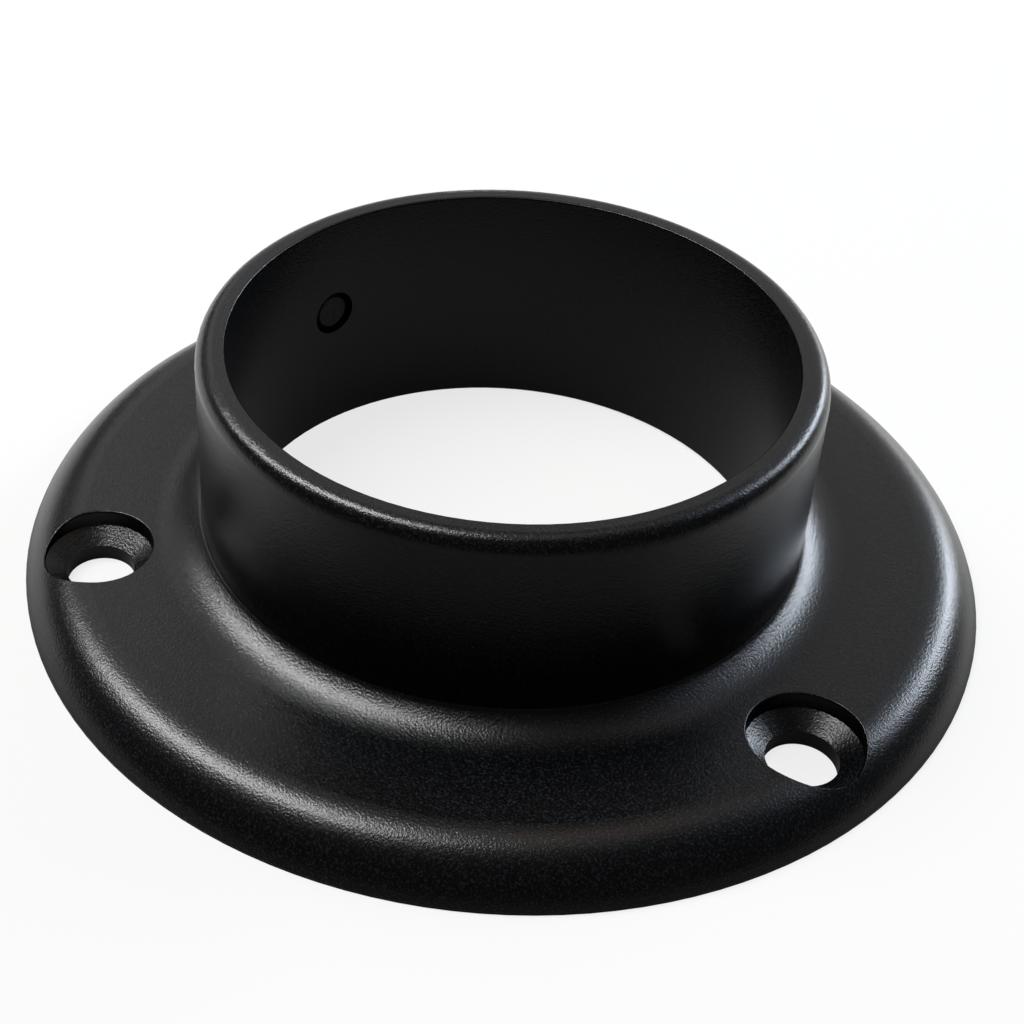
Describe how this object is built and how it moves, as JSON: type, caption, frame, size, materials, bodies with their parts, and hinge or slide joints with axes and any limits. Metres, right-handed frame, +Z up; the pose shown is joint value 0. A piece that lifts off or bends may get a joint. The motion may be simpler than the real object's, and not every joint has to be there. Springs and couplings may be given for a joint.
{
  "type": "tube clamp base flange",
  "caption": "Round cast foot with a short collar for the end of a tube, countersunk screw holes round it and a set screw through the collar.",
  "frame": {"origin": "centre of the seating face, on the axis of the bore", "axes": "+Z up the bore, away from the surface the foot is screwed to; +X towards one screw hole, so the set screw lies on -X"},
  "size_m": [0.09, 0.09, 0.0236],
  "materials": {
    "black_powder_coat": "satin powder coat with a fine orange peel",
    "black_oxide_steel": "black oxide"
  },
  "bodies": {
    "root": {"flange_body": "black_powder_coat", "set_screw": "black_oxide_steel"}
  },
  "joints": []
}
